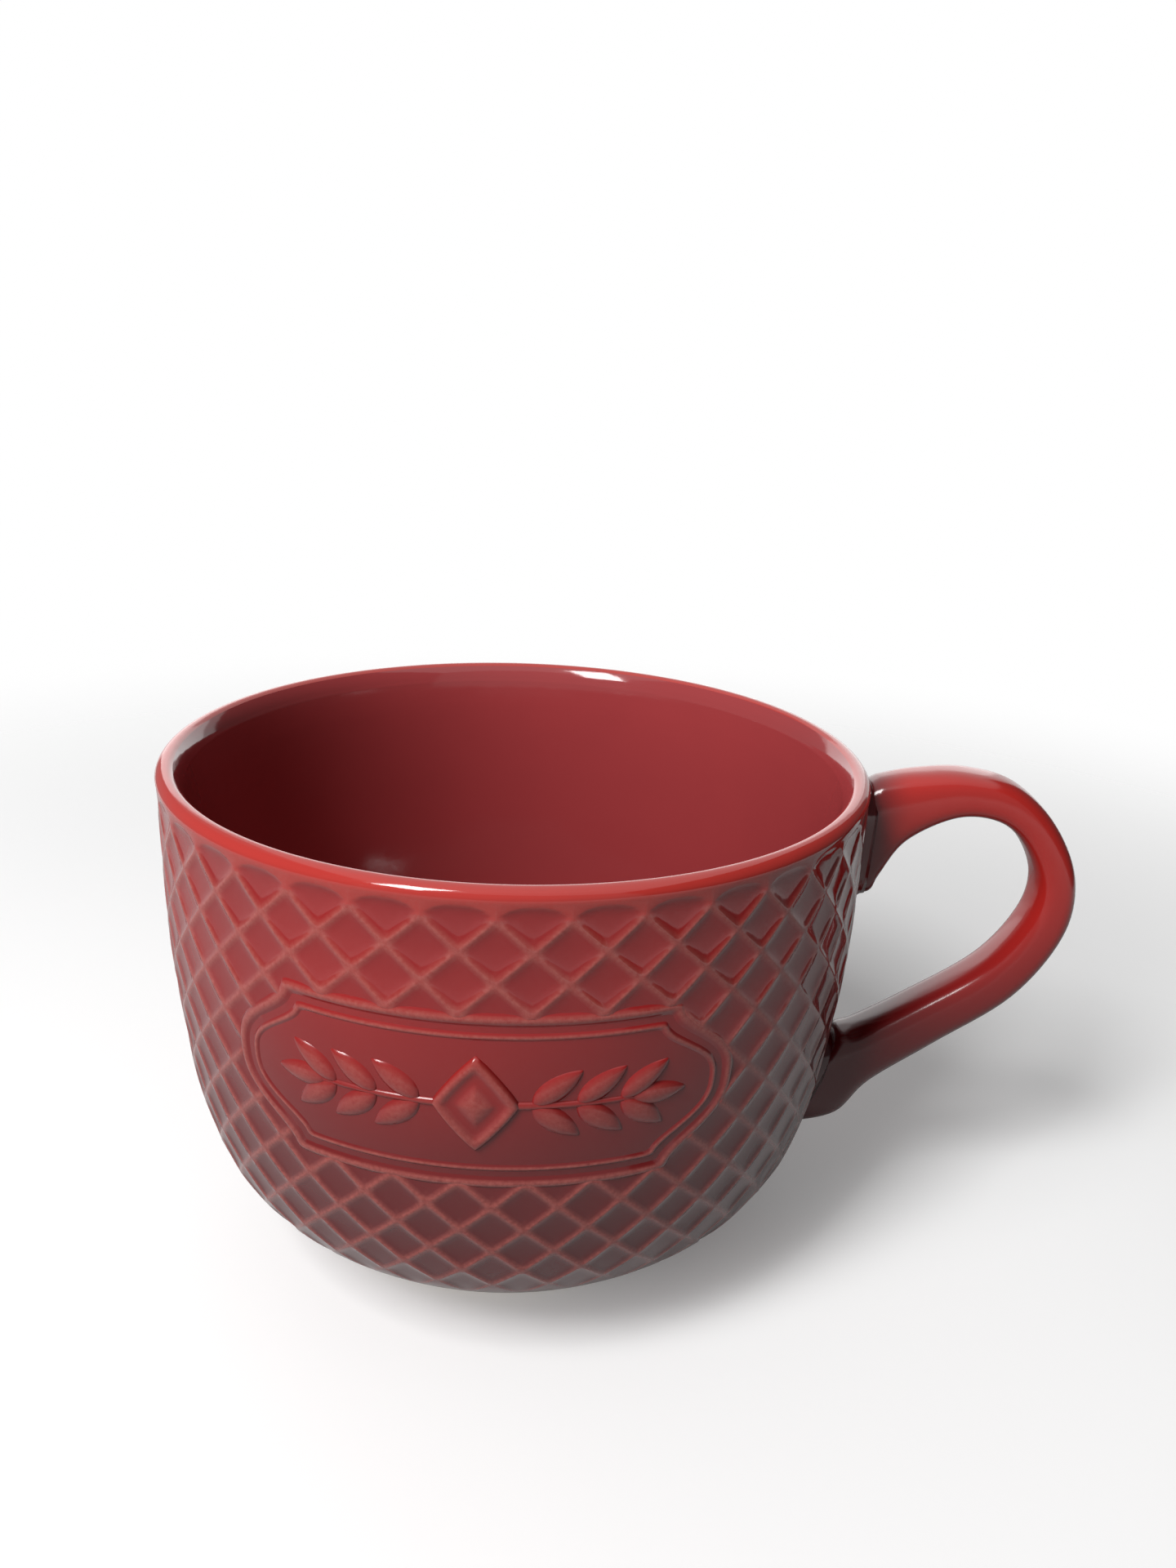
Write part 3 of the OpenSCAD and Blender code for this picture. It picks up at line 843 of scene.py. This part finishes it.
# the slip round the strap's roots, brownish and nearly black: painted shade, with some pooled glaze on it
shade_and_pool_cherry = glaze("shade_and_pool_cherry_glaze", "#741a1b", "#8a3a38", "#601618", "#521417")
# poured in, swilled round and drained: even and a little milky, with no crests for it to break on
inside = glaze("poured_cherry_glaze", "#97393b", "#ad2c2a", "#8a3336", "#97393b")
clay = bare_stoneware()

dress(relief_wall(), cherry, "glaze_red", "lattice_relief")
dress(hollow_and_base(), inside, "glaze_red", "cup_body")
# the beads' feet lie just under the field, and the outer bead's outer foot just over the wall
field_foot = FIELD_LIFT - 0.1
dress(label_bead("label_outer_bead", 0, 3.0, 0.76, field_foot, 0.1), cherry, "glaze_ribs",
      "frame_outer_bead")
dress(label_bead("label_inner_bead", -BEAD_PITCH, 1.6, 0.6, field_foot, field_foot), cherry,
      "glaze_ribs", "frame_inner_bead")
dress(ornament(), soft_cherry, "glaze_ribs", "label_ornament")
dress(strap_handle(), clear_cherry, "glaze_red", "handle")
# the slip collars carry the painted shade of the handle's roots
dress(slip_joint("upper_slip_joint", handle_line[1], Vector((1, 0))), shade_and_pool_cherry, "glaze_pooled",
      "upper_joint")
dress(slip_joint("lower_slip_joint", handle_line[-2], lower_out), shade_and_pool_cherry, "glaze_pooled",
      "lower_joint")
# the foot ring is the CAD's own, left bare of glaze
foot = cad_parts["foot_ring"]
foot.data.materials.clear()
foot.data.materials.append(clay)


# ---------------------------------------------------------------- stage, light and camera

# Softboxes point here, the middle of the mug
MUG_MIDDLE = (0, 0, 0.05)


def seen_ray(t, in_gloss=1.0):
    """One for rays from the camera, and a share for those that gloss or glass sends on."""
    path = node(t, 'ShaderNodeLightPath')
    onward = node(t, 'ShaderNodeMath', {0: path.outputs['Is Glossy Ray'],
                                        1: path.outputs['Is Transmission Ray']}, operation='MAXIMUM')
    share = node(t, 'ShaderNodeMath', {0: onward.outputs['Value']}, operation='MULTIPLY',
                 inputs={1: in_gloss})
    return node(t, 'ShaderNodeMath', {0: path.outputs['Is Camera Ray'], 1: share.outputs['Value']},
                operation='MAXIMUM').outputs['Value']


def floor_plane():
    """A pale matt floor, painted board or paper, that fades into the white behind it."""
    deselect()
    bpy.ops.mesh.primitive_plane_add(size=4)
    floor = current("floor")
    m, t = material("pale_floor")
    place = node(t, 'ShaderNodeTexCoord').outputs['Object']
    far = node(t, 'ShaderNodeVectorMath', {0: place}, operation='LENGTH')
    fade = node(t, 'ShaderNodeMapRange', {'Value': far.outputs['Value']}, interpolation_type='SMOOTHSTEP',
                inputs={'From Min': 0.15, 'From Max': 0.45})
    # the floor looks white, is dimmer in the gloss, and throws less light back on the mug
    dim = node(t, 'ShaderNodeBsdfPrincipled', inputs={'Roughness': 0.9, 'Base Color': linear("#7c7c7c")})
    pale = node(t, 'ShaderNodeBsdfPrincipled',
                inputs={'Roughness': 0.9, 'Base Color': linear("#f1f1f1"), 'Specular IOR Level': 0.0,
                        'Emission Color': WHITE, 'Emission Strength': 0.14})
    matt = node(t, 'ShaderNodeMixShader', {'Fac': seen_ray(t, 0.42), 1: dim.outputs['BSDF'],
                                           2: pale.outputs['BSDF']})
    clear = node(t, 'ShaderNodeBsdfTransparent')
    mixed = node(t, 'ShaderNodeMixShader', {'Fac': fade.outputs['Result'], 1: matt.outputs['Shader'],
                                            2: clear.outputs['BSDF']})
    node(t, 'ShaderNodeOutputMaterial', {'Surface': mixed.outputs['Shader']})
    floor.data.materials.append(m)


def studio_wall(name, at, turn, size, paint_grey, gloss_glow):
    """A matt grey wall outside the view; glossy rays see it as a painted reflection, a fixed grey glow.

    It is hidden from the camera, because other views look through the place where it stands.
    """
    deselect()
    bpy.ops.mesh.primitive_plane_add(size=1, location=(0, 0, 0))
    wall = current(name)
    edit(wall)
    bpy.ops.transform.resize(value=(size[0], size[1], 1))
    bpy.ops.transform.rotate(value=math.pi / 2, orient_axis='X', center_override=(0, 0, 0))
    bpy.ops.transform.rotate(value=turn, orient_axis='Z', center_override=(0, 0, 0))
    bpy.ops.transform.translate(value=at)
    done()
    m, t = material("grey_wall_glowing_in_gloss")
    paint = node(t, 'ShaderNodeBsdfPrincipled',
                 inputs={'Roughness': 0.9, 'Base Color': linear(paint_grey)})
    # painted reflection: in glossy rays the wall glows at a fixed strength instead of showing its lit
    # paint
    plain = node(t, 'ShaderNodeEmission', inputs={'Color': WHITE, 'Strength': gloss_glow})
    path = node(t, 'ShaderNodeLightPath')
    mixed = node(t, 'ShaderNodeMixShader', {'Fac': path.outputs['Is Glossy Ray'],
                                            1: paint.outputs['BSDF'], 2: plain.outputs['Emission']})
    node(t, 'ShaderNodeOutputMaterial', {'Surface': mixed.outputs['Shader']})
    wall.data.materials.append(m)
    wall.visible_camera = False


def white_room(level):
    """A white background for the camera, with a softer light on the mug."""
    world = bpy.data.worlds.new("white_room")
    bpy.context.scene.world = world
    world.use_nodes = True
    t = world.node_tree
    t.nodes.clear()
    light = node(t, 'ShaderNodeBackground', inputs={'Color': WHITE, 'Strength': level})
    white = node(t, 'ShaderNodeBackground', inputs={'Color': WHITE, 'Strength': 1.0})
    mixed = node(t, 'ShaderNodeMixShader', {'Fac': seen_ray(t),
                                            1: light.outputs['Background'],
                                            2: white.outputs['Background']})
    node(t, 'ShaderNodeOutputWorld', {'Surface': mixed.outputs['Shader']})


def softbox(name, at, size, watts, in_gloss=True):
    """A lamp behind a sheet of diffuser, turned to the mug."""
    deselect()
    bpy.ops.object.light_add(type='AREA', location=at)
    box = bpy.context.object
    box.name = name
    box.data.shape = 'RECTANGLE'
    box.data.size, box.data.size_y = size
    box.data.energy = watts
    box.visible_glossy = in_gloss
    box.rotation_euler = (Vector(at) - Vector(MUG_MIDDLE)).to_track_quat('Z', 'Y').to_euler()


def camera():
    """The photograph's view, by a phone's lens: close by, from above the front, handle on the right."""
    bpy.ops.object.camera_add(location=(0.0164, -0.1973, 0.1543),
                              rotation=[math.radians(a) for a in (70.24, -2.42, 2.11)])
    eye = bpy.context.object
    eye.name = "camera"
    eye.data.sensor_width = 36
    eye.data.lens = 27.48
    eye.data.clip_start = 0.01
    bpy.context.scene.camera = eye


floor_plane()
# each wall's last number is the strength of its painted reflection, a glow seen in the gloss only
studio_wall("wall_behind_camera", (0, -1.3, 0.7), 0, (2.6, 1.8), "#bcbcbc", 0.42)
studio_wall("wall_on_the_right", (1.1, 0.1, 0.7), math.pi / 2, (2.8, 1.8), "#595959", 0.1)
studio_wall("wall_on_the_left", (-1.1, 0.1, 0.7), math.pi / 2, (2.8, 1.8), "#959595", 0.3)
white_room(0.07)
# the highlights on the near and the far lip
softbox("window_light", (-0.31, -0.47, 0.74), (0.2, 0.34), 5)
# a low soft key: it shapes the relief, and only the window's light is seen in the gloss
softbox("side_light", (-0.62, -0.76, 0.56), (0.5, 0.9), 9, in_gloss=False)
softbox("ceiling_light", (-0.1, 0.5, 1.2), (1.9, 2.6), 2.6)
# as bright as the white background, so the gloss shows no edge between the two
softbox("backdrop_light", (-0.1, 1.1, 0.33), (1.4, 0.6), 2.7)
camera()
bpy.context.scene.view_settings.view_transform = 'Standard'
